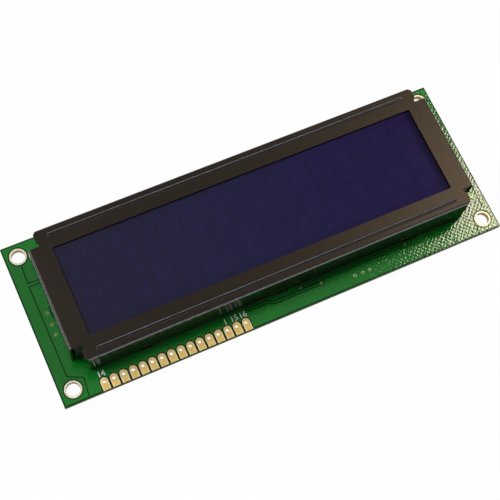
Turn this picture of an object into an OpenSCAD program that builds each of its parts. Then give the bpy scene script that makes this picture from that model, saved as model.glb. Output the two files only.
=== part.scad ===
// Character LCD module with edge pads, folded steel bezel and edge-lit backlight.
// Millimetres. +X along the board, +Y away from the terminal pads, +Z towards the display.
// The origin is at the middle of the board's outline, at the tips of the bezel's tabs.

/* [Circuit board] */
// Length of the board
board_l = 122; // [118:0.5:130]
// Width of the board
board_w = 44; // [43:0.5:54]
// Thickness of the bare laminate
laminate_t = 1.5; // [0.8:0.1:2]
// Thickness of the copper on each side
copper_t = 0.05; // [0.03:0.01:0.1]
// Bare margin between the copper and the board's edge
copper_margin = 0.35; // [0.2:0.05:0.8]
// Width of the gaps that part the copper areas
copper_gap = 0.3; // [0.2:0.05:0.5]
// Width of a copper track
track_w = 0.4; // [0.3:0.05:0.6]

/* [Mounting holes] */
// Distance of the mounting holes from the board's edges
mount_edge = 3.5; // [3:0.1:4]
// Bore of a plated mounting hole
mount_d = 3.5; // [2.5:0.1:3.6]
// Width of the bare ring round a mounting hole
mount_ring = 0.5; // [0.3:0.1:0.7]

/* [Terminal pads] */
// Number of terminal pads
pin_count = 16; // [14:1:20]
// Distance from one pad to the next
pin_pitch = 2.54; // [2:0.01:2.54]
// Bore of a plated pad hole
pin_d = 1; // [0.8:0.05:1.2]
// Width of a pad
pad_w = 2; // [1.5:0.05:2.2]
// Distance of the first hole from the board's left edge
pin_left = 11.1; // [10:0.1:13]
// Distance of the holes from the board's front edge
pin_edge = 2.4; // [2:0.1:2.8]
// Gap between a pad and the board's edge
pad_edge_gap = 0.12; // [0.05:0.01:0.3]
// Thickness of the plating in every plated hole
plating_t = 0.05; // [0.03:0.01:0.08]

/* [Bezel] */
// Depth of the board's front strip before the bezel
front_strip = 6; // [5.6:0.1:8]
// Depth of the board's rear strip behind the bezel
rear_strip = 2.6; // [2:0.1:4]
// Length of the board's side strips beyond the flanges
side_strip = 5.8; // [5:0.1:8]
// Height of the bezel above the board
bezel_h = 10.3; // [9.5:0.1:14]
// Thickness of the steel sheet
sheet_t = 0.5; // [0.3:0.05:0.6]
// Outer radius of the folds
fold_r = 0.6; // [0.6:0.05:1]
// How far the front plate reaches past each end of the long walls
ear = 0.9; // [0.7:0.05:1.2]
// How far a side flange stands out past the ends of the long walls
flange_out = 3.45; // [2.5:0.05:4]
// Distance of a flange's sides from the long walls' outer faces
flange_inset = 4.2; // [3.5:0.1:6]
// Width of the relief notch at the root of a flange
notch_w = 1; // [0.6:0.1:1.4]
// Depth of the relief notch
notch_d = 0.55; // [0.4:0.05:0.6]

/* [Window] */
// Width of the frame between the window and the plate's ends
frame_end = 3.15; // [2.5:0.05:5]
// Width of the frame between the window and the long walls' outer faces
frame_side = 5.7; // [5.4:0.1:7]
// Corner radius of the window
window_r = 0.3; // [0.2:0.05:1]

/* [Stiffening grooves] */
// Distance of a groove's ends from the plate's ends
groove_end = 3.15; // [2:0.05:6]
// Width of a groove at the plate's face
groove_w = 1.1; // [0.8:0.1:1.2]
// Depth of a groove
groove_d = 0.3; // [0.2:0.05:0.35]
// Distance of a groove's middle from the long edge
groove_edge = 2.1; // [1.9:0.1:2.3]

/* [Bezel tabs] */
// Width of a tab
tab_w = 3; // [2:0.1:4]
// How far the tabs reach below the board
tab_below = 1.7; // [1.6:0.1:2.5]
// Angle by which a tab's tip is twisted
tab_twist = 35; // [20:1:60]
// Distance of a long wall's outer tabs from its ends
tab_end = 14.65; // [8:0.05:20]
// Clearance round a tab in its slot
tab_clear = 0.15; // [0.1:0.05:0.3]

/* [Liquid crystal cell] */
// Thickness of each glass
glass_t = 1.1; // [0.7:0.1:1.1]
// Thickness of each polarizer
polarizer_t = 0.3; // [0.2:0.05:0.35]
// Gap between the two glasses
cell_gap = 0.05; // [0.03:0.01:0.1]
// Distance of the glasses' ends from the ends of the long walls
glass_end = 0.35; // [0.2:0.05:0.6]
// Clearance between the front glass and the long walls
glass_clear = 0.4; // [0.2:0.05:0.6]
// Width of the front glass's ledge beyond the rear glass, on each side
ledge_w = 3.6; // [3.3:0.1:4]
// Width of the seal round the cell
seal_w = 1; // [0.6:0.1:1.2]
// Width of the opening that the cell is filled through
fill_port_w = 2; // [1:0.1:3]
// How far the plug of the filling opening stands out
seal_plug_out = 0.5; // [0.3:0.1:0.8]
// Margin of the polarizers inside the rear glass's outline
polarizer_margin = 0.5; // [0.3:0.05:0.6]

/* [Connector strips] */
// Width of a rubber connector strip
strip_w = 2.2; // [1.6:0.1:2.4]
// Distance of a strip's ends from the glass's ends
strip_end = 1.9; // [1:0.1:4]
// Distance between the contact fingers under a strip
finger_pitch = 2; // [1.5:0.1:3]
// Width of a contact finger
finger_w = 1.1; // [0.6:0.1:1.2]
// Length of a contact finger
finger_l = 2.6; // [2.4:0.1:2.8]

/* [Backlight] */
// Clearance between the tray's ends and the side flanges
tray_clear = 0.7; // [0.4:0.1:1]
// How far the tray stands out from the rear glass on each side
tray_lip = 0.3; // [0.1:0.05:0.5]
// Wall of the backlight tray
tray_wall = 1; // [0.8:0.1:1.2]
// Thickness of the tray's floor
tray_floor = 1; // [0.8:0.1:1.5]
// Height of the ribs under the tray's floor
tray_rib_h = 1.45; // [1:0.05:1.8]
// Number of cross ribs under the tray's floor
tray_ribs = 7; // [3:1:11]
// Thickness of the reflector film
reflector_t = 0.2; // [0.1:0.05:0.3]
// Thickness of the diffuser film
diffuser_t = 0.3; // [0.1:0.05:0.4]
// Thickness of an LED board
led_board_t = 0.8; // [0.6:0.1:0.9]
// Number of LED packages on each LED board
led_count = 3; // [2:1:5]
// Length of an LED package
led_l = 3.5; // [2.8:0.1:4]
// Height of an LED package
led_h = 2.8; // [2:0.1:3]
// Thickness of an LED package
led_t = 0.8; // [0.6:0.1:0.9]
// Width of a square backlight lead
lead_w = 0.5; // [0.4:0.05:0.6]
// Distance between the two leads of an LED board
lead_pitch = 15.24; // [10.16:0.01:17.78]
// How far the leads reach below the board
lead_below = 1.1; // [0.8:0.1:1.4]
// Width of the copper ring round a lead's hole
lead_ring = 0.5; // [0.3:0.05:0.7]
// Height of the solder on a lead
lead_solder_h = 0.8; // [0.5:0.05:1]
// Clearance of pieces that drop into one another
fit_clear = 0.1; // [0.05:0.05:0.15]

/* [Back of the board] */
// How far the pair of resin domes stands left of the board's middle
dome_dx = 4; // [0:0.5:8]
// How far the resin domes stand behind the board's middle line
dome_dy = 3; // [-2:0.5:6]
// Distance between the two resin domes
dome_pitch = 38; // [30:1:44]
// Diameter of the controller's resin dome
controller_dome_d = 15; // [13:0.5:16]
// Diameter of the driver's resin dome
driver_dome_d = 14; // [13:0.5:16]
// Height of a resin dome
dome_h = 1.45; // [1.2:0.05:1.5]
// Length of a bare silicon chip
die_l = 4.6; // [3:0.1:5]
// Width of a bare silicon chip
die_w = 3.4; // [3:0.1:4]
// Thickness of a bare silicon chip
die_t = 0.4; // [0.3:0.05:0.5]
// Number of chip resistors in the bias row
resistor_count = 5; // [3:1:6]
// Distance between the chip resistors of the bias row
resistor_pitch = 2.3; // [2:0.1:2.6]
// Length of a chip resistor or capacitor
chip_l = 2; // [1.8:0.1:2.2]
// Width of a chip resistor or capacitor
chip_w = 1.25; // [1:0.05:1.4]
// Thickness of a chip resistor
resistor_t = 0.5; // [0.4:0.05:0.6]
// Thickness of a chip capacitor
capacitor_t = 0.9; // [0.7:0.05:1.1]
// Length of a chip's end terminal
terminal_l = 0.4; // [0.3:0.05:0.5]
// Length of a solder pad beyond the chip's end
smd_pad_out = 0.5; // [0.4:0.05:0.6]
// Diameter of a via's plated barrel
via_d = 0.6; // [0.5:0.05:0.7]
// Bore of a via
via_bore = 0.3; // [0.2:0.05:0.35]
// Width of the copper ring round a via
via_ring = 0.2; // [0.15:0.05:0.25]

/* [Hidden] */
$fn = 96;
eps = 0.01;
// Heights, from the tips of the tabs upwards
z_back = tab_below;                            // back face of the board, copper included
z_laminate = z_back + copper_t;                // back face of the laminate
z_laminate_top = z_laminate + laminate_t;      // front face of the laminate
z_board = z_laminate_top + copper_t;           // front face of the board, copper included
z_top = z_board + bezel_h;                     // front face of the bezel
z_inside = z_top - sheet_t;                    // underside of the bezel's plate
cell_drop = max(polarizer_t, groove_d);        // the grooves' undersides press on the front glass
z_front_glass = z_inside - cell_drop - glass_t;
z_rear_glass = z_front_glass - cell_gap - glass_t;
z_light = z_rear_glass - polarizer_t;          // top of the backlight's films
z_tray_floor = z_board + tray_rib_h + tray_floor;
z_guide = z_tray_floor + reflector_t;
guide_t = z_light - diffuser_t - z_guide;
// Mounting holes
mount_dx = board_l - 2 * mount_edge;
mount_dy = board_w - 2 * mount_edge;
// Outline of the bezel
y_front = -board_w / 2;                        // the edge with the terminal pads
bezel_y0 = y_front + front_strip;              // outer face of the front wall
bezel_y1 = board_w / 2 - rear_strip;           // outer face of the rear wall
bezel_w = bezel_y1 - bezel_y0;
bezel_dy = (bezel_y0 + bezel_y1) / 2;          // the bezel's middle line
flange_l = board_l - 2 * side_strip;
flange_w = bezel_w - 2 * flange_inset;
bezel_l = flange_l - 2 * flange_out;
plate_l = bezel_l + 2 * ear;
tab_pitch = bezel_l / 2 - tab_end;             // from a long wall's middle tab to the outer ones
window_l = plate_l - 2 * frame_end;
window_w = bezel_w - 2 * frame_side;
groove_l = plate_l - 2 * groove_end;
least_bend = 0.05;
bend_in = max(fold_r - sheet_t, least_bend);   // inner radius of the folds
groove_r = (pow(groove_w / 2, 2) + pow(groove_d, 2)) / (2 * groove_d);
bead_w = groove_w + 2 * groove_d;              // width of the groove's ridge on the underside
bead_r = (pow(bead_w / 2, 2) + pow(groove_d, 2)) / (2 * groove_d);
groove_y = bezel_w / 2 - groove_edge;
// Liquid crystal cell and connector strips
glass_l = bezel_l - 2 * glass_end;
front_glass_w = bezel_w - 2 * (sheet_t + glass_clear);
rear_glass_w = front_glass_w - 2 * ledge_w;
polarizer_w = rear_glass_w - 2 * polarizer_margin;
strip_l = glass_l - 2 * strip_end;
// Backlight
tray_l = flange_l - 2 * (sheet_t + tray_clear);
tray_w = rear_glass_w + 2 * tray_lip;
tray_in_l = tray_l - 2 * tray_wall;
tray_in_w = tray_w - 2 * tray_wall;
guide_l = tray_in_l - 2 * (led_board_t + led_t + fit_clear);
guide_w = tray_in_w - 2 * fit_clear;
led_board_x = tray_in_l / 2 - led_board_t / 2;
led_board_w = tray_in_w - 2 * fit_clear;
lead_hole_d = lead_w * sqrt(2) + 2 * fit_clear;
strip_y = tray_w / 2 + fit_clear + strip_w / 2; // middle of a connector strip from the cell's middle
strip_count = floor((strip_l - finger_w) / finger_pitch) + 1;
// Terminal pads
pin_x0 = -board_l / 2 + pin_left;
pin_y = y_front + pin_edge;
pad_front = y_front + pad_edge_gap;
// Places on the front copper: shares of the board's half length, of the front strip before the
// bezel, of the side strips beyond the flanges, and of the flanges' half width
function on_x(share) = share * board_l / 2;
function on_front(share) = bezel_y0 - share * front_strip;
function on_side(share) = flange_l / 2 + share * side_strip;
function on_flange(share) = bezel_dy + share * flange_w / 2;
hole_x = mount_dx / 2;
hole_y = mount_dy / 2;
under = 0.2;                                   // share by which a line runs in under the bezel
TRACKS = [[[on_x(0.077), on_front(0.135)], [on_x(0.574), on_front(0.135)]],
          [[on_x(0.169), on_front(0.3)], [on_x(-0.054), on_front(0.3)],
           [on_x(-0.072), on_front(0.15)], [on_x(-0.161), on_front(0.15)],
           [on_x(-0.174), on_front(-under)]]];
// Vias: the ends of the tracks, and those that join the copper areas of both sides
VIAS = concat([for (t = TRACKS) each [t[0], t[len(t) - 1]]],
              [for (x = [0.313, 0.351, 0.384]) [on_x(x), on_front(0.565)]],
              [for (y = [0.015, -0.222, -0.422]) [-on_side(0.19), on_flange(y)]],
              [[on_side(0.48), on_flange(-0.978)]]);
// Gaps that part the front copper into areas
GAPS = [[[-hole_x, hole_y - mount_d / 2], [-on_side(0.45), on_flange(0.689)],
         [-on_side(-under), on_flange(0.674)]],
        [[-on_side(-under), on_flange(0.6)], [-on_side(0.45), on_flange(0.615)],
         [-on_side(0.43), mount_d - hole_y], [-on_side(-under), mount_d / 2 - hole_y],
         [-on_side(-under / 2), y_front]],
        [[on_side(0.7), on_flange(0.84)], [on_side(0.7), mount_d - hole_y]],
        [[hole_x, mount_d / 2 - hole_y], [on_side(0.04), mount_d / 2 - hole_y],
         [on_side(-0.07), y_front]]];
// Parts on the back, as [x, y]
controller_at = [-dome_pitch / 2 - dome_dx, dome_dy];
driver_at = [dome_pitch / 2 - dome_dx, dome_dy];
chips_x = controller_at[0] + controller_dome_d / 2 + chip_l + 2 * smd_pad_out;
bias_x = driver_at[0] + driver_dome_d / 2 + chip_l + 2 * smd_pad_out;
RESISTORS = concat([for (i = [0 : resistor_count - 1])
                        [bias_x, dome_dy + (i - (resistor_count - 1) / 2) * resistor_pitch]],
                   [[chips_x, dome_dy + resistor_pitch], [bias_x + 2 * chip_l, dome_dy]]);
CAPACITORS = [[chips_x, dome_dy], [chips_x, dome_dy - resistor_pitch]];

// ---- Shared shapes ----

// A block with its length and width centred on [0, 0] and its base at z
module slab(l, w, t, z) {
    translate([-l / 2, -w / 2, z]) cube([l, w, t]);
}

// A straight bar with round ends from a to b, w wide, from z to z + t
module bar(a, b, w, z, t) {
    run = b - a;
    translate([a[0], a[1], z]) {
        rotate([0, 0, atan2(run[1], run[0])]) translate([0, -w / 2, 0]) cube([norm(run), w, t]);
        cylinder(h = t, d = w);
    }
    translate([b[0], b[1], z]) cylinder(h = t, d = w);
}

// Bars along a chain of points
module chain(points, w, z, t) {
    for (i = [0 : len(points) - 2]) bar(points[i], points[i + 1], w, z, t);
}

module at_mounting_holes() {
    for (x = [-1, 1], y = [-1, 1]) translate([x * mount_dx / 2, y * mount_dy / 2, 0]) children();
}

module at_pins() {
    for (i = [0 : pin_count - 1]) translate([pin_x0 + i * pin_pitch, pin_y, 0]) children();
}

module at_vias() {
    for (v = VIAS) translate([v[0], v[1], 0]) children();
}

// The tabs of the long walls and of the side flanges, each with its wall along X
module at_tabs() {
    for (x = [-tab_pitch, 0, tab_pitch]) {
        translate([x, bezel_y0 + sheet_t / 2, 0]) children();
        translate([x, bezel_y1 - sheet_t / 2, 0]) children();
    }
    for (s = [-1, 1])
        translate([s * (flange_l - sheet_t) / 2, bezel_dy, 0]) rotate([0, 0, 90]) children();
}

module at_leads() {
    for (s = [-1, 1], y = [-1, 1])
        translate([s * led_board_x, bezel_dy + y * lead_pitch / 2, 0]) children();
}

// The pads' outlines, with a margin all round, from z to z + t
module pad_shapes(margin, z, t) {
    at_pins() translate([0, 0, z]) {
        cylinder(h = t, d = pad_w + 2 * margin);
        translate([-pad_w / 2 - margin, pad_front - pin_y - margin, 0])
            cube([pad_w + 2 * margin, pin_y - pad_front + margin, t]);
    }
}

// A plated hole: a ring on each face of the board and the barrel between them
module plated_hole(bore, ring) {
    difference() {
        union() {
            for (z = [z_back, z_laminate_top])
                translate([0, 0, z]) cylinder(h = copper_t, d = bore + 2 * ring);
            translate([0, 0, z_back]) cylinder(h = z_board - z_back, d = bore + 2 * plating_t);
        }
        through(bore);
    }
}

// A cutter for a round hole through the board
module through(d) {
    translate([0, 0, z_back - eps]) cylinder(h = z_board - z_back + 2 * eps, d = d);
}

// Cutters for the slots of the bezel's tabs
module tab_slots() {
    at_tabs() slab(tab_w + 2 * tab_clear, sheet_t + 2 * tab_clear, z_board - z_back + 2 * eps,
                   z_back - eps);
}

// ---- Circuit board ----

// Woven-glass laminate, drilled and slotted
module circuit_board() {
    color([0.10, 0.33, 0.13]) difference() {
        slab(board_l, board_w, laminate_t, z_laminate);
        at_mounting_holes() through(mount_d + 2 * plating_t);
        at_pins() through(pin_d + 2 * plating_t);
        at_leads() through(lead_hole_d + 2 * plating_t);
        at_vias() through(via_d);
        tab_slots();
    }
}

// What both copper layers leave free round the holes, pads and slots
module copper_cuts(z) {
    cut_z = z - eps;
    cut_t = copper_t + 2 * eps;
    at_mounting_holes() translate([0, 0, cut_z])
        cylinder(h = cut_t, d = mount_d + 2 * mount_ring + 2 * copper_gap);
    at_leads() translate([0, 0, cut_z])
        cylinder(h = cut_t, d = lead_hole_d + 2 * lead_ring + 2 * copper_gap);
    at_vias() translate([0, 0, cut_z]) cylinder(h = cut_t, d = via_d + 2 * via_ring);
    pad_shapes(copper_gap, cut_z, cut_t);
    tab_slots();
}

module copper_sheet(z) {
    slab(board_l - 2 * copper_margin, board_w - 2 * copper_margin, copper_t, z);
}

// Copper areas and tracks under the solder mask
module front_copper() {
    z = z_laminate_top;
    cut_z = z - eps;
    cut_t = copper_t + 2 * eps;
    color([0.14, 0.47, 0.20]) {
        difference() {
            copper_sheet(z);
            copper_cuts(z);
            for (g = GAPS) chain(g, copper_gap, cut_z, cut_t);
            for (t = TRACKS) {
                chain(t, track_w + 2 * copper_gap, cut_z, cut_t);
                for (end = [t[0], t[len(t) - 1]]) translate([end[0], end[1], cut_z])
                    cylinder(h = cut_t, d = via_d + 2 * via_ring + 2 * copper_gap);
            }
            for (s = [-1, 1]) translate([0, bezel_dy + s * strip_y, 0])
                slab(strip_l + 2 * copper_gap, finger_l + 2 * copper_gap, cut_t, cut_z);
        }
        difference() {
            for (t = TRACKS) chain(t, track_w, z, copper_t);
            at_vias() translate([0, 0, cut_z]) cylinder(h = cut_t, d = via_d + 2 * via_ring);
        }
    }
}

// Ground copper of the back, open round the chips' pads
module back_copper() {
    color([0.12, 0.42, 0.17]) difference() {
        copper_sheet(z_back);
        copper_cuts(z_back);
        for (c = concat(RESISTORS, CAPACITORS)) translate([c[0], c[1], 0])
            slab(chip_l + 2 * smd_pad_out + 2 * copper_gap, chip_w + 2 * copper_gap,
                 copper_t + 2 * eps, z_back - eps);
    }
}

// Bare fingers that the connector strips press on
module contact_fingers() {
    color([0.85, 0.70, 0.35])
        for (s = [-1, 1], i = [0 : strip_count - 1])
            translate([(i - (strip_count - 1) / 2) * finger_pitch, bezel_dy + s * strip_y, 0])
                slab(finger_w, finger_l, copper_t, z_laminate_top);
}

// Pads at the front edge, on both faces, joined by the plating of their holes
module terminal_pads() {
    color([0.88, 0.74, 0.42]) difference() {
        union() {
            pad_shapes(0, z_back, copper_t);
            pad_shapes(0, z_laminate_top, copper_t);
            at_pins() translate([0, 0, z_back])
                cylinder(h = z_board - z_back, d = pin_d + 2 * plating_t);
        }
        at_pins() through(pin_d);
    }
}

module mounting_hole_plating() {
    color([0.90, 0.85, 0.60]) at_mounting_holes() plated_hole(mount_d, mount_ring);
}

module lead_hole_plating() {
    color([0.85, 0.80, 0.60]) at_leads() plated_hole(lead_hole_d, lead_ring);
}

// Small plated holes that join the two copper layers
module vias() {
    color([0.30, 0.55, 0.28]) at_vias() difference() {
        union() {
            for (z = [z_back, z_laminate_top])
                translate([0, 0, z]) cylinder(h = copper_t, d = via_d + 2 * via_ring);
            translate([0, 0, z_back]) cylinder(h = z_board - z_back, d = via_d);
        }
        through(via_bore);
    }
}

// ---- Bezel ----

// Section of a folded edge: the bend and the wall below it, outwards from the plate's end
module fold_section() {
    translate([0, -fold_r]) intersection() {
        difference() {
            circle(r = fold_r);
            circle(r = bend_in);
        }
        square(fold_r);
    }
    translate([fold_r - sheet_t, -bezel_h]) square([sheet_t, bezel_h - fold_r]);
}

// A folded wall l long whose outer face lies at reach from the bezel's middle, along +Y
module folded_wall(l, reach) {
    translate([-l / 2, reach - fold_r, z_top]) rotate([90, 0, 90])
        linear_extrude(height = l) fold_section();
}

// A round-bottomed channel or ridge l long and w wide over all, its lowest line at z
module groove_form(l, w, r, z) {
    for (s = [-1, 1]) translate([0, s * groove_y, z + r]) {
        rotate([0, 90, 0]) cylinder(h = l - w, r = r, center = true);
        for (e = [-1, 1]) translate([e * (l - w) / 2, 0, 0]) sphere(r = r);
    }
}

module window_cut() {
    t = sheet_t + 2 * eps;
    z = z_inside - eps;
    slab(window_l - 2 * window_r, window_w, t, z);
    slab(window_l, window_w - 2 * window_r, t, z);
    for (x = [-1, 1], y = [-1, 1])
        translate([x * (window_l / 2 - window_r), y * (window_w / 2 - window_r), z])
            cylinder(h = t, r = window_r);
}

// Cuts at the plate's four corners: the chamfer, the end of the long wall and the flange's notch
module corner_cuts() {
    past = fold_r;
    for (x = [0, 1], y = [0, 1]) mirror([x, 0, 0]) mirror([0, y, 0]) {
        translate([0, 0, z_board - eps]) linear_extrude(height = bezel_h + 2 * eps)
            polygon([[bezel_l / 2, bezel_w / 2], [plate_l / 2, bezel_w / 2 - ear],
                     [plate_l / 2 + past, bezel_w / 2 - ear],
                     [plate_l / 2 + past, bezel_w / 2 + past], [bezel_l / 2, bezel_w / 2 + past]]);
        translate([bezel_l / 2, bezel_w / 2 - fold_r, z_board - eps])
            cube([ear + past, fold_r + past, bezel_h - sheet_t + eps]);
        translate([plate_l / 2 - notch_d, flange_w / 2, z_inside - eps])
            cube([notch_d + past, notch_w, sheet_t + 2 * eps]);
    }
}

// A tab: a straight neck through the board and a twisted tip that holds the board from behind
module tab() {
    tip_cut = tab_w / 6;
    core_d = 0.8 * sheet_t;                    // where the tip twists away from the neck
    slab(tab_w, sheet_t, z_board - z_back + sheet_t, z_back);
    translate([0, 0, z_back - sheet_t]) cylinder(h = 2 * sheet_t, d = core_d);
    rotate([0, 0, tab_twist]) translate([0, sheet_t / 2, 0]) rotate([90, 0, 0])
        linear_extrude(height = sheet_t)
            polygon([[-tab_w / 2, z_back], [-tab_w / 2, tip_cut], [-tab_w / 2 + tip_cut, 0],
                     [tab_w / 2 - tip_cut, 0], [tab_w / 2, tip_cut], [tab_w / 2, z_back]]);
}

// One stamped and folded sheet of black steel
module bezel() {
    color([0.17, 0.15, 0.14]) {
        translate([0, bezel_dy, 0]) difference() {
            union() {
                slab(plate_l, bezel_w - 2 * fold_r, sheet_t, z_inside);
                slab(flange_l - 2 * fold_r, flange_w, sheet_t, z_inside);
                for (a = [0, 180]) rotate([0, 0, a]) folded_wall(plate_l, bezel_w / 2);
                for (a = [90, 270]) rotate([0, 0, a]) folded_wall(flange_w, flange_l / 2);
                intersection() {
                    groove_form(groove_l + 2 * groove_d, bead_w, bead_r, z_inside - groove_d);
                    slab(plate_l, bezel_w, 2 * groove_d, z_inside - 2 * groove_d);
                }
            }
            groove_form(groove_l, groove_w, groove_r, z_top - groove_d);
            window_cut();
            corner_cuts();
        }
        at_tabs() tab();
    }
}

// ---- Liquid crystal cell ----

module front_polarizer() {
    color([0.12, 0.11, 0.28]) translate([0, bezel_dy, 0])
        slab(glass_l - 2 * polarizer_margin, polarizer_w, polarizer_t, z_front_glass + glass_t);
}

// The wider glass, whose two ledges carry the contacts
module front_glass() {
    color([0.55, 0.65, 0.75, 0.6]) translate([0, bezel_dy, 0])
        slab(glass_l, front_glass_w, glass_t, z_front_glass);
}

// Frame of adhesive between the glasses, open at the filling port
module cell_seal() {
    color([0.45, 0.45, 0.42]) translate([0, bezel_dy, 0]) difference() {
        slab(glass_l, rear_glass_w, cell_gap, z_front_glass - cell_gap);
        slab(glass_l - 2 * seal_w, rear_glass_w - 2 * seal_w, cell_gap + 2 * eps,
             z_front_glass - cell_gap - eps);
        translate([glass_l / 2, 0, 0])
            slab(4 * seal_w, fill_port_w, cell_gap + 2 * eps, z_front_glass - cell_gap - eps);
    }
}

// Drop of resin over the filling port, on the ends of both glasses
module seal_plug() {
    plug_r = (pow(fill_port_w, 2) + pow(seal_plug_out, 2)) / (2 * seal_plug_out);
    color([0.75, 0.70, 0.50]) translate([0, bezel_dy, 0]) intersection() {
        translate([glass_l / 2 + seal_plug_out - plug_r, 0, z_front_glass - glass_t / 2])
            cylinder(h = glass_t, r = plug_r);
        translate([glass_l / 2, -fill_port_w, z_rear_glass])
            cube([2 * seal_plug_out, 2 * fill_port_w, 2 * glass_t]);
    }
}

module rear_glass() {
    color([0.55, 0.65, 0.75, 0.6]) translate([0, bezel_dy, 0])
        slab(glass_l, rear_glass_w, glass_t, z_rear_glass);
}

module rear_polarizer() {
    color([0.20, 0.20, 0.40]) translate([0, bezel_dy, 0])
        slab(glass_l - 2 * polarizer_margin, polarizer_w, polarizer_t, z_light);
}

// Layered rubber strip that carries the signals from the board up to the glass
module connector_strip(side) {
    color([0.85, 0.60, 0.62]) translate([0, bezel_dy + side * strip_y, 0])
        slab(strip_l, strip_w, z_front_glass - z_board, z_board);
}

// ---- Backlight ----

// White moulded tray with ribs below its floor and raised ends that locate the glass
module backlight_tray() {
    post_x = glass_l / 2 + fit_clear;
    post_l = tray_l / 2 - post_x;
    cell_l = (tray_in_l - tray_ribs * tray_wall) / (tray_ribs + 1);
    color([0.95, 0.95, 0.93]) translate([0, bezel_dy, 0]) difference() {
        union() {
            slab(tray_l, tray_w, z_light - z_board, z_board);
            for (s = [-1, 1]) {
                translate([s * (tray_l - tray_wall) / 2, 0, 0])
                    slab(tray_wall, tray_w, z_inside - z_light, z_light);
                for (y = [-1, 1])
                    translate([s * (post_x + post_l / 2), y * (tray_w - tray_wall) / 2, 0])
                        slab(post_l, tray_wall, z_inside - z_light, z_light);
            }
        }
        slab(tray_in_l, tray_in_w, z_inside, z_tray_floor);
        for (i = [0 : tray_ribs])
            translate([-tray_in_l / 2 + cell_l / 2 + i * (cell_l + tray_wall), 0, 0])
                slab(cell_l, tray_in_w, tray_rib_h + eps, z_board - eps);
        for (s = [-1, 1], y = [-1, 1])
            translate([s * led_board_x, y * lead_pitch / 2, z_board])
                cylinder(h = tray_rib_h + tray_floor + eps, d = lead_hole_d);
    }
}

module reflector_film() {
    color([0.98, 0.98, 0.98]) translate([0, bezel_dy, 0])
        slab(guide_l, guide_w, reflector_t, z_tray_floor);
}

module light_guide() {
    color([0.85, 0.90, 0.95, 0.5]) translate([0, bezel_dy, 0])
        slab(guide_l, guide_w, guide_t, z_guide);
}

module diffuser_film() {
    color([0.92, 0.92, 0.95]) translate([0, bezel_dy, 0])
        slab(tray_in_l - 2 * fit_clear, guide_w, diffuser_t, z_light - diffuser_t);
}

// Small board on edge at one end of the tray
module led_board(side) {
    color([0.90, 0.92, 0.88]) translate([side * led_board_x, bezel_dy, 0])
        slab(led_board_t, led_board_w, z_light - diffuser_t - z_tray_floor, z_tray_floor);
}

// Side-facing LED packages that shine into the ends of the light guide
module led_packages() {
    led_pitch = led_board_w / led_count;
    color([0.95, 0.90, 0.55])
        for (s = [-1, 1], i = [0 : led_count - 1])
            translate([s * (tray_in_l / 2 - led_board_t - led_t / 2),
                       bezel_dy + (i - (led_count - 1) / 2) * led_pitch, 0])
                slab(led_t, led_l, led_h, z_guide + (guide_t - led_h) / 2);
}

// Square leads from the LED boards down through the circuit board
module backlight_leads() {
    color([0.80, 0.80, 0.82]) at_leads()
        slab(lead_w, lead_w, z_tray_floor - z_back + lead_below, z_back - lead_below);
}

// Solder in each lead's hole and round the lead on the back
module lead_solder() {
    color([0.75, 0.76, 0.78]) at_leads() difference() {
        union() {
            translate([0, 0, z_back]) cylinder(h = z_board - z_back, d = lead_hole_d);
            translate([0, 0, z_back - lead_solder_h])
                cylinder(h = lead_solder_h, r1 = lead_w, r2 = lead_hole_d / 2 + lead_ring / 2);
        }
        slab(lead_w, lead_w, z_board, 0);
    }
}

// ---- Back of the board ----

// Bare silicon glued to the board
module chip_die(at) {
    color([0.35, 0.36, 0.40]) translate([at[0], at[1], 0]) slab(die_l, die_w, die_t, z_back - die_t);
}

// Drop of black resin over a bare chip, its height falling off as a power of the radius
module resin_dome(at, d) {
    steps = 14;
    fall = 2.6;                                // the higher the power, the flatter the crown
    profile = [for (i = [0 : steps]) let (u = sin(90 * i / steps))
                   [d / 2 * u, -dome_h * (1 - pow(u, fall))]];
    color([0.09, 0.09, 0.10]) difference() {
        translate([at[0], at[1], z_back]) rotate_extrude() polygon(concat([[0, 0]], profile));
        translate([at[0], at[1], 0]) slab(die_l, die_w, die_t + eps, z_back - die_t);
    }
}

// Ceramic bodies between the end terminals
module chip_bodies(places, t) {
    for (c = places) translate([c[0], c[1], 0]) slab(chip_l - 2 * terminal_l, chip_w, t, z_back - t);
}

// Both ends of every chip: x runs outwards from the chip's end face
module at_chip_ends(places) {
    for (c = places, s = [0, 1])
        translate([c[0], c[1], 0]) mirror([s, 0, 0]) translate([chip_l / 2, 0, 0]) children();
}

module chip_resistors() {
    color([0.12, 0.12, 0.13]) chip_bodies(RESISTORS, resistor_t);
}

module chip_capacitors() {
    color([0.62, 0.50, 0.36]) chip_bodies(CAPACITORS, capacitor_t);
}

module end_terminal(t) {
    translate([-terminal_l, -chip_w / 2, z_back - t]) cube([terminal_l, chip_w, t]);
}

module chip_terminals() {
    color([0.80, 0.80, 0.82]) {
        at_chip_ends(RESISTORS) end_terminal(resistor_t);
        at_chip_ends(CAPACITORS) end_terminal(capacitor_t);
    }
}

// Fillet of solder from the pad up the end terminal, t high
module solder_fillet(t) {
    translate([0, chip_w / 2, z_back]) rotate([90, 0, 0]) linear_extrude(height = chip_w)
        polygon([[0, 0], [0, -t], [smd_pad_out / 2, -t / 3], [smd_pad_out, 0]]);
}

module chip_solder() {
    wet = 0.7;                                 // share of the chip's height that the solder climbs
    color([0.75, 0.76, 0.78]) {
        at_chip_ends(RESISTORS) solder_fillet(wet * resistor_t);
        at_chip_ends(CAPACITORS) solder_fillet(wet * capacitor_t);
    }
}

module chip_pads() {
    color([0.85, 0.75, 0.45])
        at_chip_ends(concat(RESISTORS, CAPACITORS)) translate([-terminal_l, -chip_w / 2, z_back])
            cube([terminal_l + smd_pad_out, chip_w, copper_t]);
}

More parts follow.
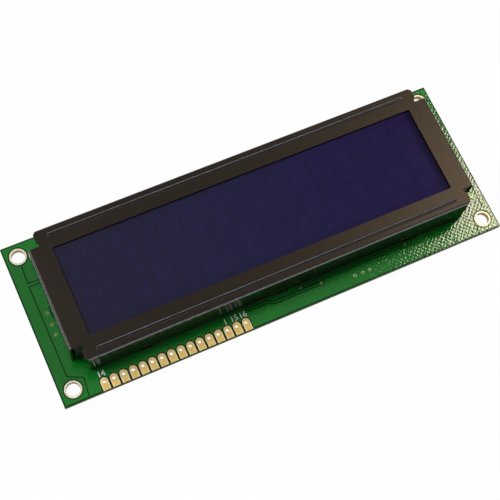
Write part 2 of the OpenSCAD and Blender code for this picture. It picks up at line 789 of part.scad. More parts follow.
circuit_board();
front_copper();
back_copper();
contact_fingers();
terminal_pads();
mounting_hole_plating();
lead_hole_plating();
vias();
bezel();
front_polarizer();
front_glass();
cell_seal();
seal_plug();
rear_glass();
rear_polarizer();
connector_strip(-1);  // connector_strip_front
connector_strip(1);  // connector_strip_rear
backlight_tray();
reflector_film();
light_guide();
diffuser_film();
led_board(-1);  // led_board_left
led_board(1);  // led_board_right
led_packages();
backlight_leads();
lead_solder();
chip_die(controller_at);  // controller_chip
chip_die(driver_at);  // driver_chip
resin_dome(controller_at, controller_dome_d);  // controller_resin
resin_dome(driver_at, driver_dome_d);  // driver_resin
chip_resistors();
chip_capacitors();
chip_terminals();
chip_solder();
chip_pads();
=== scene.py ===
"""Looks of a character LCD module: green circuit board, black folded bezel, dark blue display.

Metres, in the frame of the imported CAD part: +X along the board, +Y away from the terminal pads,
+Z out of the window. The script runs from top to bottom, one section per piece.
"""

import math

import bmesh
import bpy
import numpy as np
from mathutils import Matrix, Vector


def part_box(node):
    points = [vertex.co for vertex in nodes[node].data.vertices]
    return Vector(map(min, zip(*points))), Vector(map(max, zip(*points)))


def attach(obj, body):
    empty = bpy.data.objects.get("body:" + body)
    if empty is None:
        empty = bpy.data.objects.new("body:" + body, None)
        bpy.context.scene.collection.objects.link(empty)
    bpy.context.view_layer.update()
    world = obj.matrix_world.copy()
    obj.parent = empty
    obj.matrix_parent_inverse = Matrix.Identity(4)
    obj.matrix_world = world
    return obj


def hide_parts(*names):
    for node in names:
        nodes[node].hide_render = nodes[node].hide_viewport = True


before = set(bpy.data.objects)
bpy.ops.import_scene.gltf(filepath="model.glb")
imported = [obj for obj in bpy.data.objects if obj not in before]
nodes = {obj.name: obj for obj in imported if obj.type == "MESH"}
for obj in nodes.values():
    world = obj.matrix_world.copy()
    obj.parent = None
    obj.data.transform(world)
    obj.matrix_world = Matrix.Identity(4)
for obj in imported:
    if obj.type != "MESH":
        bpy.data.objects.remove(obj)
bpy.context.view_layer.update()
scene = bpy.context.scene
MM = 0.001

# ---- Studio ----
# A plain white table under soft light: a warm key from behind on the right, whose mirror image
# lies on that end of the board, a broad fill from behind on the left and a low strip in front.

board_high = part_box("circuit_board")[1]
board_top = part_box("front_copper")[1].z

view_target = Vector((-2.85 * MM, -2.56 * MM, board_top))
view_turn = math.radians(38.1)
view_rise = math.radians(69.29)
view_roll = math.radians(14.29)
view_distance = 299.12 * MM
focal_length = 84.08

camera_data = bpy.data.cameras.new("camera")
camera_data.lens = focal_length
camera_data.sensor_width = 36
camera_data.clip_start = 0.01
camera = bpy.data.objects.new("camera", camera_data)
scene.collection.objects.link(camera)
back = Vector((-math.sin(view_turn) * math.cos(view_rise),
               -math.cos(view_turn) * math.cos(view_rise), math.sin(view_rise)))
level_right = Vector((0, 0, 1)).cross(back).normalized()
level_up = back.cross(level_right)
right = level_right * math.cos(view_roll) + level_up * math.sin(view_roll)
up = back.cross(right)
camera.matrix_world = (Matrix.Translation(view_target + back * view_distance)
                       @ Matrix((right, up, back)).transposed().to_4x4())
scene.camera = camera
scene.view_settings.view_transform = "Standard"


def set_inputs(node, **values):
    """Sets a node's sockets by name; an underscore in a name stands for a space."""
    for name, value in values.items():
        node.inputs[name.replace("_", " ")].default_value = value
    return node


def add_node(tree, kind, **settings):
    """A new node of that kind, with its own settings, such as operation or blend_type."""
    node = tree.nodes.new(kind)
    for name, value in settings.items():
        setattr(node, name, value)
    return node


def math_node(tree, operation, *inputs, clamp=False):
    """A Math node. Each input is a number or another node's output; returns the result."""
    node = add_node(tree, "ShaderNodeMath", operation=operation, use_clamp=clamp)
    for socket, value in zip(node.inputs, inputs):
        if isinstance(value, (int, float)):
            socket.default_value = value
        else:
            tree.links.new(value, socket)
    return node.outputs[0]


def softbox(name, place, size, radiance, tint):
    """A rectangular lamp aimed at the object, its first side along X; power is radiance pi area."""
    data = bpy.data.lights.new(name, "AREA")
    data.shape = "RECTANGLE"
    data.size, data.size_y = size
    data.energy = radiance * math.pi * size[0] * size[1]
    data.color = tint
    lamp = bpy.data.objects.new(name, data)
    scene.collection.objects.link(lamp)
    aim = (Vector(place) - view_target).normalized()
    along = (Vector((1, 0, 0)) - aim * aim.x).normalized()
    lamp.matrix_world = (Matrix.Translation(place)
                         @ Matrix((along, aim.cross(along), aim)).transposed().to_4x4())


softbox("key_lamp", (0.340, 0.088, 0.503), (0.13, 0.15), 16.5, (1.0, 0.87, 0.66))
softbox("fill_lamp", (-0.40, 0.20, 0.62), (0.46, 0.40), 5.2, (0.97, 0.98, 1.0))
softbox("front_strip_lamp", (0.12, -0.62, 0.36), (0.90, 0.08), 3.0, (0.93, 0.95, 1.0))

world = bpy.data.worlds.new("studio")
scene.world = world
world.use_nodes = True
sky = world.node_tree
sky.nodes.clear()
sky_place = add_node(sky, "ShaderNodeTexCoord")
sky_toward = add_node(sky, "ShaderNodeVectorMath", operation="DOT_PRODUCT")
sky_toward.inputs[1].default_value = (0.10, 0.35, 0.93)
sky.links.new(sky_place.outputs["Generated"], sky_toward.inputs[0])
sky_cap = add_node(sky, "ShaderNodeMapRange", interpolation_type="SMOOTHSTEP")
set_inputs(sky_cap, From_Min=0.78, From_Max=0.94, To_Min=0.06, To_Max=0.48)
sky.links.new(sky_toward.outputs["Value"], sky_cap.inputs["Value"])
light_path = add_node(sky, "ShaderNodeLightPath")
sky_strength = add_node(sky, "ShaderNodeMix", data_type="FLOAT")
sky.links.new(light_path.outputs["Is Camera Ray"], sky_strength.inputs["Factor"])
sky.links.new(sky_cap.outputs["Result"], sky_strength.inputs["A"])
sky_strength.inputs["B"].default_value = 1.0
background = add_node(sky, "ShaderNodeBackground")
sky.links.new(sky_strength.outputs["Result"], background.inputs["Strength"])
sky_out = add_node(sky, "ShaderNodeOutputWorld")
sky.links.new(background.outputs[0], sky_out.inputs["Surface"])


def new_material(name):
    """A material with a Principled BSDF; returns it with its node tree and that shader node."""
    material = bpy.data.materials.new(name)
    material.use_nodes = True
    tree = material.node_tree
    tree.nodes.clear()
    shader = add_node(tree, "ShaderNodeBsdfPrincipled")
    out = add_node(tree, "ShaderNodeOutputMaterial")
    tree.links.new(shader.outputs[0], out.inputs["Surface"])
    return material, tree, shader


def smooth_grid(name, points):
    """A mesh over a grid of points, shape (rows, columns, 3): each cell of four is one face."""
    rows, columns = points.shape[:2]
    row, column = np.mgrid[0:rows - 1, 0:columns - 1]
    corner = row * columns + column
    faces = np.stack([corner, corner + 1, corner + columns + 1, corner + columns], -1)
    mesh = bpy.data.meshes.new(name)
    mesh.from_pydata(points.reshape(-1, 3).tolist(), [], faces.reshape(-1, 4).tolist())
    mesh.shade_smooth()
    return mesh


# The table seems to glow to the eye, to a mirror and through glass, but casts no light. The glow
# stops a little way in under the board's edges, so that the tab slots stay dark.
floor_half = 6.0
floor_glow = 0.975
glow_reach_x = 3.8 * MM
glow_reach_y = 5.8 * MM
floor_points = np.array([[[x, y, 0.0] for x in (-floor_half, floor_half)]
                         for y in (-floor_half, floor_half)])
floor = bpy.data.objects.new("floor", smooth_grid("floor", floor_points))
scene.collection.objects.link(floor)
table_white, tree, shader = new_material("table_white")
set_inputs(shader, Base_Color=(0.95, 0.95, 0.95, 1), Roughness=0.9, Specular_IOR_Level=0.2)
glow = add_node(tree, "ShaderNodeEmission")
path = add_node(tree, "ShaderNodeLightPath")
seen = math_node(tree, "MAXIMUM", path.outputs["Is Camera Ray"],
                 math_node(tree, "MAXIMUM", path.outputs["Is Glossy Ray"],
                           path.outputs["Is Transmission Ray"]))
blend = add_node(tree, "ShaderNodeMixShader")
under = add_node(tree, "ShaderNodeSeparateXYZ")
tree.links.new(add_node(tree, "ShaderNodeTexCoord").outputs["Object"], under.inputs[0])
aside = math_node(tree, "ABSOLUTE", under.outputs["X"])
ahead = math_node(tree, "ABSOLUTE", under.outputs["Y"])
open_floor = math_node(tree, "MAXIMUM",
                       math_node(tree, "GREATER_THAN", aside, board_high.x - glow_reach_x),
                       math_node(tree, "GREATER_THAN", ahead, board_high.y - glow_reach_y))
glow_share = math_node(tree, "MULTIPLY", seen, open_floor)
tree.links.new(math_node(tree, "MULTIPLY", glow_share, floor_glow), blend.inputs[0])
tree.links.new(shader.outputs[0], blend.inputs[1])
tree.links.new(glow.outputs[0], blend.inputs[2])
tree.links.new(blend.outputs[0], tree.nodes["Material Output"].inputs["Surface"])
floor.data.materials.append(table_white)

# ---- Solder mask over copper and laminate ----
# Both faces carry a glossy green lacquer, screened over the etched copper and the bare laminate.
# It follows the glass weave below it, so that it sparkles where a lamp is mirrored in it.


def shade(node_name, material):
    """Gives a CAD node's own object that material."""
    mesh = nodes[node_name].data
    mesh.materials.clear()
    mesh.materials.append(material)


def place_vector(tree):
    """Object coordinates in millimetres."""
    place = add_node(tree, "ShaderNodeTexCoord")
    scale = add_node(tree, "ShaderNodeVectorMath", operation="SCALE")
    scale.inputs["Scale"].default_value = 1 / MM
    tree.links.new(place.outputs["Object"], scale.inputs[0])
    return scale.outputs[0]


def start_group(name, inputs, outputs):
    """An empty node group: inputs and outputs are {socket name: (kind, default)}."""
    tree = bpy.data.node_groups.new(name, "ShaderNodeTree")
    for side, sockets in (("INPUT", inputs), ("OUTPUT", outputs)):
        for socket_name, (kind, value) in sockets.items():
            socket = tree.interface.new_socket(socket_name, in_out=side, socket_type=kind)
            if value is not None:
                socket.default_value = value
    return tree, add_node(tree, "NodeGroupInput"), add_node(tree, "NodeGroupOutput")


def noise(tree, place, scale, detail=3.0, roughness=0.5):
    """Noise of that many features a millimetre, as a value from 0 to 1."""
    node = add_node(tree, "ShaderNodeTexNoise")
    set_inputs(node, Scale=scale, Detail=detail, Roughness=roughness)
    tree.links.new(place, node.inputs["Vector"])
    return node.outputs["Fac"]


def remap(tree, value, low, high, new_low=0.0, new_high=1.0):
    """Value from low..high taken to new_low..new_high, clamped."""
    node = add_node(tree, "ShaderNodeMapRange")
    set_inputs(node, From_Min=low, From_Max=high, To_Min=new_low, To_Max=new_high)
    tree.links.new(value, node.inputs["Value"])
    return node.outputs["Result"]


def mix_colour(tree, share, first, second):
    """Colour between first and second by share; each is a colour or another node's output."""
    node = add_node(tree, "ShaderNodeMix", data_type="RGBA")
    factor, colour_a, colour_b = node.inputs[0], node.inputs[6], node.inputs[7]
    for socket, value in ((factor, share), (colour_a, first), (colour_b, second)):
        if isinstance(value, (int, float, tuple)):
            socket.default_value = value
        else:
            tree.links.new(value, socket)
    return node.outputs[2]


VALUE, VECTOR = "NodeSocketFloat", "NodeSocketVector"

# Weave: two crossed sets of yarns, each a sine along one axis, one over the other in a
# checkerboard, with their spacing jittered by noise. Height is 0 to 1. Fleck is blotchy noise,
# for the resin that lies unevenly over the cloth.
weave_group, weave_in, weave_out = start_group(
    "glass_weave", {"Place": (VECTOR, None), "Pitch": (VALUE, 0.55), "Wander": (VALUE, 0.25)},
    {"Height": (VALUE, None), "Fleck": (VALUE, None)})
drift = add_node(weave_group, "ShaderNodeTexNoise")
set_inputs(drift, Scale=0.35, Detail=2.0)
weave_group.links.new(weave_in.outputs["Place"], drift.inputs["Vector"])
drift_scaled = add_node(weave_group, "ShaderNodeVectorMath", operation="SCALE")
weave_group.links.new(drift.outputs["Color"], drift_scaled.inputs[0])
weave_group.links.new(weave_in.outputs["Wander"], drift_scaled.inputs["Scale"])
wandering = add_node(weave_group, "ShaderNodeVectorMath", operation="ADD")
weave_group.links.new(weave_in.outputs["Place"], wandering.inputs[0])
weave_group.links.new(drift_scaled.outputs[0], wandering.inputs[1])
yarns = add_node(weave_group, "ShaderNodeSeparateXYZ")
weave_group.links.new(wandering.outputs[0], yarns.inputs[0])
turns = math_node(weave_group, "DIVIDE", math.pi, weave_in.outputs["Pitch"])
warp = math_node(weave_group, "SINE", math_node(weave_group, "MULTIPLY", yarns.outputs["X"], turns))
weft = math_node(weave_group, "SINE", math_node(weave_group, "MULTIPLY", yarns.outputs["Y"], turns))
crossing = math_node(weave_group, "MULTIPLY", warp, weft)
weave_height = math_node(weave_group, "MULTIPLY_ADD", crossing, 0.5, 0.5)
weave_group.links.new(weave_height, weave_out.inputs["Height"])
fleck = noise(weave_group, weave_in.outputs["Place"], 1.7, 2.0, 0.6)
weave_group.links.new(fleck, weave_out.inputs["Fleck"])

# The weave's share in the colour, the heights of fleck and ripple measured in weave heights,
# and the depth of one weave height.
weave_share = 0.18
fleck_height = 2.4
ripple_height = 0.5
mask_relief = 0.015 * MM


def solder_mask(name, colour, dark_colour):
    """Glossy green lacquer: its colour clouds a little, and weave and ripple bend its gloss."""
    material, tree, shader = new_material(name)
    place = place_vector(tree)
    weave = add_node(tree, "ShaderNodeGroup", node_tree=weave_group)
    set_inputs(weave, Pitch=0.62, Wander=1.0)
    tree.links.new(place, weave.inputs["Place"])
    clouds = noise(tree, place, 0.08, 3.0)
    share = math_node(tree, "MULTIPLY_ADD", weave.outputs["Height"], weave_share,
                      remap(tree, clouds, 0.3, 0.7, 0.0, 0.55))
    tree.links.new(mix_colour(tree, share, colour, dark_colour), shader.inputs["Base Color"])
    ripple = noise(tree, place, 0.9, 2.0)
    height = math_node(tree, "ADD", weave.outputs["Height"],
                       math_node(tree, "MULTIPLY", weave.outputs["Fleck"], fleck_height))
    height = math_node(tree, "ADD", height, math_node(tree, "MULTIPLY", ripple, ripple_height))
    bump = add_node(tree, "ShaderNodeBump")
    set_inputs(bump, Strength=1.0, Distance=mask_relief)
    tree.links.new(height, bump.inputs["Height"])
    tree.links.new(bump.outputs[0], shader.inputs["Normal"])
    set_inputs(shader, Roughness=0.06, IOR=1.56)
    return material


mask_green = (0.004, 0.232, 0.017, 1)
mask_green_dark = (0.003, 0.172, 0.012, 1)
mask_on_laminate = (0.003, 0.050, 0.007, 1)
copper_mask = solder_mask("mask_over_copper", mask_green, mask_green_dark)
for face in ("front_copper", "back_copper"):
    shade(face, copper_mask)

# ---- Laminate ----
# 1.5 mm of woven glass and epoxy, sheared and routed to size. Its faces are green under the
# mask and bare olive brown round the pads; its cut edges show thin layers of glass cloth.

# Millimetres, as the places that a material reads are.
cloth_pitch = 0.19
bare_margin_start, bare_margin_end = 0.5, 0.3
laminate = solder_mask("laminate", mask_on_laminate, mask_on_laminate)
tree = laminate.node_tree
shader = tree.nodes["Principled BSDF"]
facing = add_node(tree, "ShaderNodeNewGeometry")
facing_split = add_node(tree, "ShaderNodeSeparateXYZ")
tree.links.new(facing.outputs["True Normal"], facing_split.inputs[0])
is_face = remap(tree, math_node(tree, "ABSOLUTE", facing_split.outputs["Z"]), 0.3, 0.6)
edge_place = place_vector(tree)
edge_split = add_node(tree, "ShaderNodeSeparateXYZ")
tree.links.new(edge_place, edge_split.inputs[0])
layer_wave = math_node(tree, "SINE", math_node(tree, "MULTIPLY", edge_split.outputs["Z"],
                                               2 * math.pi / cloth_pitch))
stretch = add_node(tree, "ShaderNodeMapping")
stretch.inputs["Scale"].default_value = (0.8, 0.8, 9.0)
tree.links.new(edge_place, stretch.inputs["Vector"])
fibre = noise(tree, stretch.outputs[0], 1.0, 4.0, 0.7)
layers = math_node(tree, "MULTIPLY_ADD", layer_wave, 0.16, fibre, clamp=True)
cut_colour = mix_colour(tree, layers, (0.012, 0.060, 0.014, 1), (0.075, 0.135, 0.040, 1))
pads_low, pads_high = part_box("terminal_pads")
row_middle = (pads_low.x + pads_high.x) / 2 / MM
row_half = (pads_high.x - pads_low.x) / 2 / MM
row_rear = pads_high.y / MM
from_middle = math_node(tree, "ABSOLUTE",
                        math_node(tree, "SUBTRACT", edge_split.outputs["X"], row_middle))
by_pads = math_node(tree, "MULTIPLY",
                    remap(tree, from_middle,
                          row_half + bare_margin_start, row_half + bare_margin_end),
                    remap(tree, edge_split.outputs["Y"],
                          row_rear + bare_margin_start, row_rear + bare_margin_end))
mask_link = mix_colour(tree, by_pads, shader.inputs["Base Color"].links[0].from_socket,
                       (0.022, 0.015, 0.002, 1))
tree.links.new(mix_colour(tree, is_face, cut_colour, mask_link), shader.inputs["Base Color"])
tree.links.new(remap(tree, is_face, 0, 1, 0.75, 0.16), shader.inputs["Roughness"])
set_inputs(shader, Specular_IOR_Level=0.18)
shade("circuit_board", laminate)

# ---- Terminal pads, plated holes and vias ----
# Copper plated with nickel and a flash of gold. Each pad's gold is painted pale round its rim, a
# painted highlight, and deeper in colour in the middle. The leads' holes are bright plated
# barrels, and the vias show through green mask.

pin_pitch = 2.54 * MM
pad_width = 2.0 * MM
ring_radius = 2.25 * MM
gold_relief = 0.004 * MM
first_pin_x = pads_low.x + pad_width / 2
pin_y = pads_high.y - pad_width / 2


def gold(name, colour, rim_colour, roughness, rim):
    """Plated gold with fine scuffs. rim(tree, place) gives 0 in the middle and 1 at the rim."""
    material, tree, shader = new_material(name)
    place = place_vector(tree)
    clouds = noise(tree, place, 1.1, 4.0, 0.6)
    deep = mix_colour(tree, remap(tree, clouds, 0.35, 0.65), colour,
                      tuple(c * 0.85 for c in colour[:3]) + (1,))
    tree.links.new(mix_colour(tree, rim(tree, place), deep, rim_colour),
                   shader.inputs["Base Color"])
    scuffs = noise(tree, place, 7.0, 3.0, 0.7)
    tree.links.new(remap(tree, scuffs, 0.3, 0.7, roughness - 0.08, roughness + 0.1),
                   shader.inputs["Roughness"])
    bump = add_node(tree, "ShaderNodeBump")
    set_inputs(bump, Strength=1.0, Distance=gold_relief)
    tree.links.new(scuffs, bump.inputs["Height"])
    tree.links.new(bump.outputs[0], shader.inputs["Normal"])
    set_inputs(shader, Metallic=0.55)
    return material


def length_of(tree, first, second):
    """The root of first squared plus second squared; both are 0 or more."""
    squares = [math_node(tree, "POWER", part, 2.0) for part in (first, second)]
    return math_node(tree, "SQRT", math_node(tree, "ADD", *squares))


def pad_rim_highlight(tree, place):
    """1 at a pad's straight sides and round end, 0 from 0.38 mm further in."""
    pitch = pin_pitch / MM
    pad_radius = pad_width / MM / 2
    split = add_node(tree, "ShaderNodeSeparateXYZ")
    tree.links.new(place, split.inputs[0])
    along = math_node(tree, "SUBTRACT", split.outputs["X"], first_pin_x / MM - pitch / 2)
    along = math_node(tree, "FLOORED_MODULO", along, pitch)
    aside = math_node(tree, "ABSOLUTE", math_node(tree, "SUBTRACT", along, pitch / 2))
    beyond = math_node(tree, "SUBTRACT", split.outputs["Y"], pin_y / MM)
    reach = length_of(tree, aside, math_node(tree, "MAXIMUM", beyond, 0))
    return remap(tree, reach, pad_radius - 0.38, pad_radius - 0.12)


def no_rim(tree, place):
    """Small bright blotches all over."""
    return remap(tree, noise(tree, place, 3.0, 2.0), 0.4, 0.7)


def ring_edge_and_bore_shade(tree, place):
    """1 on the outline of a mounting hole's ring and in its bore, 0 on the ring between them; the
    brown in the bore is painted shade.
    """
    ring_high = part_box("mounting_hole_plating")[1]
    split = add_node(tree, "ShaderNodeSeparateXYZ")
    tree.links.new(place, split.inputs[0])
    from_hole = []
    for axis, edge in (("X", ring_high.x), ("Y", ring_high.y)):
        outward = math_node(tree, "ABSOLUTE", split.outputs[axis])
        outward = math_node(tree, "SUBTRACT", outward, (edge - ring_radius) / MM)
        from_hole.append(math_node(tree, "ABSOLUTE", outward))
    reach = length_of(tree, *from_hole)
    radius = ring_radius / MM
    outline = remap(tree, reach, radius - 0.16, radius - 0.04)
    bore_shade = remap(tree, reach, radius - 0.46, radius - 0.49)
    return math_node(tree, "MAXIMUM", outline, bore_shade)


# A pad's pale rim colour is a painted highlight along its sides and round end.
pad_gold = gold("pad_gold", (0.98, 0.72, 0.24, 1), (0.97, 0.88, 0.48, 1), 0.38, pad_rim_highlight)
barrel_gold = gold("barrel_gold", (0.98, 0.94, 0.74, 1), (1.0, 0.99, 0.88, 1), 0.45, no_rim)
via_plating = gold("via_plating", (0.05, 0.20, 0.04, 1), (0.50, 0.66, 0.28, 1), 0.25, no_rim)
# The ring's brown second colour runs round its outline and, as painted shade, down its bore.
ring_gold = gold("ring_gold", (1.0, 0.97, 0.80, 1), (0.40, 0.27, 0.12, 1), 0.45, ring_edge_and_bore_shade)
for gilded in ("terminal_pads", "contact_fingers", "chip_pads"):
    shade(gilded, pad_gold)
shade("mounting_hole_plating", ring_gold)
shade("lead_hole_plating", barrel_gold)
shade("vias", via_plating)

# ---- Pin numbers ----
# White epoxy ink, silk-screened on the mask behind the pads: only the ends of the two pin
# groups are numbered.


def add_piece(name, mesh, material, replaced=()):
    """A new piece of the object: it rides on the one body and takes the material it is given."""
    piece = bpy.data.objects.new(name, mesh)
    scene.collection.objects.link(piece)
    mesh.materials.clear()
    mesh.materials.append(material)
    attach(piece, "root")
    if replaced:
        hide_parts(*replaced)
    return piece


ink_white, tree, shader = new_material("ink_white")
place = place_vector(tree)
thin = remap(tree, noise(tree, place, 6.0, 3.0), 0.35, 0.6)
tree.links.new(mix_colour(tree, thin, (0.84, 0.90, 0.86, 1), (0.97, 0.98, 0.97, 1)),
               shader.inputs["Base Color"])
set_inputs(shader, Roughness=0.6)
number_height = 1.5 * MM
number_gap = 0.35 * MM
ink_lift = 0.012 * MM
stroke_growth = 0.035 * MM
type_size = 1.4 * number_height
number_marks = []
for pad_index, label, nudge in ((0, "14", 0.0), (13, "1", 0.3), (14, "15", 0.15), (15, "16", 0.0)):
    text = bpy.data.curves.new("pin_number_" + label, "FONT")
    text.body = label
    text.size = type_size
    text.align_x = "CENTER"
    text.offset = stroke_growth
    holder = bpy.data.objects.new("pin_number_" + label, text)
    scene.collection.objects.link(holder)
    bpy.context.view_layer.update()
    mark = bpy.data.meshes.new_from_object(holder)
    bpy.data.objects.remove(holder)
    mark.transform(Matrix.Translation((first_pin_x + pad_index * pin_pitch + nudge * MM,
                                       pads_high.y + number_gap, board_top + ink_lift)))
    number_marks.append(mark)
numbers = bmesh.new()
for mark in number_marks:
    numbers.from_mesh(mark)
number_mesh = bpy.data.meshes.new("pin_numbers")
numbers.to_mesh(number_mesh)
numbers.free()
add_piece("pin_numbers", number_mesh, ink_white)

# ---- Bezel ----
# One sheet of 0.5 mm steel, stamped, folded down on four sides and coated satin black. Two
# pressed grooves stiffen its long sides, and its twisted tabs hold the whole stack together.

edge_break = 0.05 * MM
weld_distance = 0.002 * MM
flat_angle = math.radians(1)
sharp_angle = math.radians(30)
coat_relief = 0.003 * MM
fold_roughness = 0.14


def merged_copy(name, node_name, material):
    """A copy of a CAD node, its loose triangles merged and its sharp edges broken by a bevel."""
    mesh = nodes[node_name].data.copy()
    mesh.name = name
    work = bmesh.new()
    work.from_mesh(mesh)
    bmesh.ops.remove_doubles(work, verts=work.verts, dist=weld_distance)
    bmesh.ops.dissolve_limit(work, angle_limit=flat_angle, verts=work.verts, edges=work.edges)
    work.to_mesh(mesh)
    work.free()
    piece = add_piece(name, mesh, material, (node_name,))
    mesh.shade_smooth()
    bevel = piece.modifiers.new("broken_edges", "BEVEL")
    bevel.width = edge_break
    bevel.segments = 2
    bevel.limit_method = "ANGLE"
    bevel.angle_limit = sharp_angle
    even = piece.modifiers.new("even_normals", "WEIGHTED_NORMAL")
    even.mode = "FACE_AREA"
    even.weight = 100


bezel_black, tree, shader = new_material("bezel_black")
place = place_vector(tree)
grain = noise(tree, place, 9.0, 4.0, 0.65)
clouds = noise(tree, place, 0.25, 3.0)
coat = mix_colour(tree, remap(tree, clouds, 0.3, 0.7), (0.008, 0.0072, 0.0065, 1),
                  (0.011, 0.0085, 0.0065, 1))
facing = add_node(tree, "ShaderNodeNewGeometry")
tilt = add_node(tree, "ShaderNodeSeparateXYZ")
tree.links.new(facing.outputs["Normal"], tilt.inputs[0])
upright = math_node(tree, "ABSOLUTE", tilt.outputs["Z"])

# Painted sheen for the highlight lines: what leans, the folds and the grooves' flanks, not wall
# or plate, gets a paler metallic coat in patches, as if the coat were rubbed thin there.
off_wall = remap(tree, upright, 0.10, 0.45)
off_plate = remap(tree, upright, 0.97, 0.80)
sheen_patches = remap(tree, noise(tree, place, 1.2, 3.0, 0.6), 0.3, 0.6, 0.55, 1.0)
fold_sheen = math_node(tree, "MULTIPLY", math_node(tree, "MULTIPLY", off_wall, off_plate), sheen_patches)
tree.links.new(mix_colour(tree, fold_sheen, coat, (0.20, 0.21, 0.24, 1)), shader.inputs["Base Color"])
tree.links.new(fold_sheen, shader.inputs["Metallic"])
flat_rough = remap(tree, grain, 0.3, 0.7, 0.30, 0.39)
is_plate = remap(tree, upright, 0.80, 0.98)
rough_mix = add_node(tree, "ShaderNodeMix", data_type="FLOAT")
tree.links.new(is_plate, rough_mix.inputs["Factor"])
rough_mix.inputs["A"].default_value = fold_roughness
tree.links.new(flat_rough, rough_mix.inputs["B"])
tree.links.new(rough_mix.outputs["Result"], shader.inputs["Roughness"])
bump = add_node(tree, "ShaderNodeBump")
set_inputs(bump, Strength=1.0, Distance=coat_relief)
tree.links.new(grain, bump.inputs["Height"])
tree.links.new(bump.outputs[0], shader.inputs["Normal"])
set_inputs(shader, IOR=1.42, Specular_Tint=(1.0, 0.80, 0.64, 1))
merged_copy("bezel_sheet", "bezel", bezel_black)

# ---- Display ----
# A satin polarizing film on the front glass. Unpowered, the panel is a deep blue that turns
# violet towards the right, with its two rows of character cells just visible.

display, tree, shader = new_material("display_film")
place = place_vector(tree)
split = add_node(tree, "ShaderNodeSeparateXYZ")
tree.links.new(place, split.inputs[0])
film_low, film_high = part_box("front_polarizer")
window_middle = (film_low + film_high) / 2 / MM

# The 16 by 2 character cells and the bezel's frame, in millimetres.
column_pitch, row_pitch = 6.0, 10.34
cell_width, cell_height = 4.84, 9.66
cells_half_x = 8 * column_pitch
cells_half_y = row_pitch
frame_width = 5.7


def cell_wave(tree, value, centre, pitch, width):
    """1 inside a cell of that width, 0 between cells, along one axis in millimetres."""
    start = math_node(tree, "SUBTRACT", value, centre)
    local = math_node(tree, "SUBTRACT", math_node(tree, "FLOORED_MODULO", start, pitch), pitch / 2)
    return remap(tree, math_node(tree, "ABSOLUTE", local), width / 2 + 0.12, width / 2 - 0.12)


columns = cell_wave(tree, split.outputs["X"], window_middle.x, column_pitch, cell_width)
rows = cell_wave(tree, split.outputs["Y"], window_middle.y, row_pitch, cell_height)
cells = math_node(tree, "MULTIPLY", columns, rows)
aside = math_node(tree, "ABSOLUTE", split.outputs["X"])
inside_x = remap(tree, aside, cells_half_x + 0.2, cells_half_x - 0.6)
ahead = math_node(tree, "ABSOLUTE",
                  math_node(tree, "SUBTRACT", split.outputs["Y"], window_middle.y))
inside_y = remap(tree, ahead, cells_half_y + 0.16, cells_half_y - 0.34)
cells = math_node(tree, "MULTIPLY", cells, math_node(tree, "MULTIPLY", inside_x, inside_y))

left_blue = (0.0280, 0.0260, 0.0530, 1)
middle_blue = (0.0215, 0.0205, 0.0680, 1)
right_violet = (0.0195, 0.0112, 0.0780, 1)
to_middle = remap(tree, split.outputs["X"], -cells_half_x, 0)
to_right = remap(tree, split.outputs["X"], 0, cells_half_x)
panel_colour = mix_colour(tree, to_middle, left_blue, middle_blue)
panel_colour = mix_colour(tree, to_right, panel_colour, right_violet)
clouds = noise(tree, place, 0.05, 2.0)
panel_colour = mix_colour(tree, remap(tree, clouds, 0.35, 0.65, 0.0, 0.3), panel_colour,
                          (0.0215, 0.0170, 0.0500, 1))
patchy = remap(tree, noise(tree, place, 0.3, 2.0), 0.35, 0.65, 0.02, 0.2)
cell_share = math_node(tree, "MULTIPLY", cells, patchy)
lit_panel = mix_colour(tree, cell_share, panel_colour, (0.030, 0.030, 0.125, 1))

# Painted shade: the film is darkened along its right and rear edges, where the window's rim
# would keep light off it.
bezel_low, bezel_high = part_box("bezel")
window_half_x = bezel_high.x / MM - frame_width
window_half_y = (bezel_high.y - bezel_low.y) / 2 / MM - frame_width
from_right = math_node(tree, "SUBTRACT", window_half_x, split.outputs["X"])
from_rear = math_node(tree, "SUBTRACT", window_middle.y + window_half_y, split.outputs["Y"])
unshaded_share = math_node(tree, "MULTIPLY", remap(tree, from_right, 0.4, 3.4, 0.15, 1.0),
                       remap(tree, from_rear, 0.3, 1.4, 0.15, 1.0))
tree.links.new(mix_colour(tree, unshaded_share, (0.0010, 0.0016, 0.0014, 1), lit_panel),
               shader.inputs["Base Color"])
set_inputs(shader, Roughness=0.25, IOR=1.42, Specular_IOR_Level=0.02)
shade("front_polarizer", display)
shade("rear_polarizer", display)

# ---- Inner stack ----
# Two sheets of clear glass with their seal, pink layered rubber strips, and a moulded tray with
# its films, light guide and LED boards. The tray is black as painted shade, where it shows in the
# bezel's corner notches.

plain_relief = 0.003 * MM


def plain(name, colour, second, scale, roughness, **values):
    """A plain finish whose colour drifts between two close tones, with a matching fine bump."""
    material, tree, shader = new_material(name)
    place = place_vector(tree)
    drift = noise(tree, place, scale, 4.0)
    tree.links.new(mix_colour(tree, remap(tree, drift, 0.3, 0.7), colour, second),
                   shader.inputs["Base Color"])
    bump = add_node(tree, "ShaderNodeBump")
    set_inputs(bump, Strength=1.0, Distance=plain_relief)
    tree.links.new(drift, bump.inputs["Height"])
    tree.links.new(bump.outputs[0], shader.inputs["Normal"])
    set_inputs(shader, Roughness=roughness, **values)
    return material


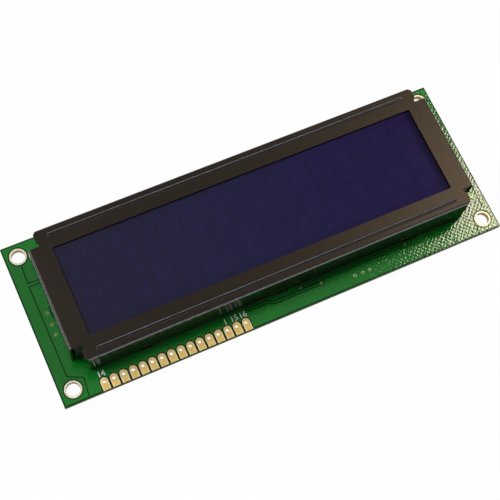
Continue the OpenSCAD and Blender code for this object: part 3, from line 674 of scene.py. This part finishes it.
clear_glass = plain("clear_glass", (0.95, 0.98, 0.97, 1), (0.92, 0.97, 0.95, 1), 0.1, 0.02,
                    Transmission_Weight=1.0, IOR=1.52)
shade("front_glass", clear_glass)
shade("rear_glass", clear_glass)
shade("light_guide", plain("guide_acrylic", (0.97, 0.98, 1.0, 1), (0.95, 0.97, 1.0, 1), 0.1, 0.05,
                           Transmission_Weight=1.0, IOR=1.49))
shade("cell_seal", plain("seal_resin", (0.16, 0.16, 0.14, 1), (0.12, 0.12, 0.10, 1), 1.0, 0.5))
shade("seal_plug", plain("plug_resin", (0.52, 0.44, 0.20, 1), (0.44, 0.36, 0.16, 1), 1.0, 0.2))
# The tray's black is painted shade where it shows in the bezel's corner notches.
shade("backlight_tray", plain("tray_painted_shade_black", (0.010, 0.010, 0.011, 1),
                              (0.014, 0.014, 0.015, 1), 1.5, 0.5))
shade("reflector_film", plain("reflector_white", (0.9, 0.9, 0.9, 1),
                              (0.86, 0.86, 0.86, 1), 2.0, 0.35))
shade("diffuser_film", plain("diffuser_frost", (0.82, 0.82, 0.85, 1),
                             (0.78, 0.78, 0.82, 1), 3.0, 0.7))
led_white = plain("led_board_white", (0.80, 0.82, 0.78, 1), (0.72, 0.75, 0.70, 1), 2.0, 0.4)
shade("led_board_left", led_white)
shade("led_board_right", led_white)
shade("led_packages", plain("led_phosphor", (0.85, 0.72, 0.16, 1),
                            (0.80, 0.62, 0.10, 1), 2.0, 0.35))

rubber_layer_pitch = 0.18  # millimetres
strip_rubber, tree, shader = new_material("strip_rubber")
place = place_vector(tree)
split = add_node(tree, "ShaderNodeSeparateXYZ")
tree.links.new(place, split.inputs[0])
layer = math_node(tree, "SINE", math_node(tree, "MULTIPLY", split.outputs["X"],
                                          2 * math.pi / rubber_layer_pitch))
core = remap(tree, layer, 0.0, 0.4)
tree.links.new(mix_colour(tree, core, (0.60, 0.25, 0.27, 1), (0.04, 0.03, 0.03, 1)),
               shader.inputs["Base Color"])
set_inputs(shader, Roughness=0.6)
for side in ("front", "rear"):
    shade("connector_strip_" + side, strip_rubber)

# ---- Back of the board ----
# Two bare chips under domes of black resin, chip resistors and capacitors soldered to their
# pads, and the backlight's tinned leads in mounds of solder.

resin_relief = 0.04 * MM
resin, tree, shader = new_material("black_resin")
place = place_vector(tree)
orange_peel = noise(tree, place, 0.7, 3.0, 0.5)
tree.links.new(mix_colour(tree, orange_peel, (0.006, 0.006, 0.007, 1), (0.014, 0.013, 0.013, 1)),
               shader.inputs["Base Color"])
bump = add_node(tree, "ShaderNodeBump")
set_inputs(bump, Strength=1.0, Distance=resin_relief)
tree.links.new(orange_peel, bump.inputs["Height"])
tree.links.new(bump.outputs[0], shader.inputs["Normal"])
tree.links.new(remap(tree, noise(tree, place, 2.0, 3.0), 0.3, 0.7, 0.22, 0.42),
               shader.inputs["Roughness"])
shade("controller_resin", resin)
shade("driver_resin", resin)
silicon = plain("silicon", (0.09, 0.09, 0.11, 1), (0.07, 0.07, 0.10, 1), 1.0, 0.15, Metallic=0.6)
shade("controller_chip", silicon)
shade("driver_chip", silicon)
solder = plain("solder", (0.72, 0.72, 0.73, 1), (0.55, 0.56, 0.58, 1), 3.0, 0.25, Metallic=1.0)
tin = plain("tin", (0.78, 0.78, 0.79, 1), (0.66, 0.66, 0.68, 1), 4.0, 0.35, Metallic=1.0)
shade("lead_solder", solder)
shade("chip_solder", solder)
shade("chip_terminals", tin)
shade("backlight_leads", tin)
shade("chip_resistors", plain("resistor_glaze", (0.012, 0.012, 0.013, 1),
                              (0.02, 0.02, 0.022, 1), 1.5, 0.3))
shade("chip_capacitors", plain("capacitor_ceramic", (0.30, 0.19, 0.09, 1),
                               (0.25, 0.16, 0.08, 1), 2.0, 0.45))
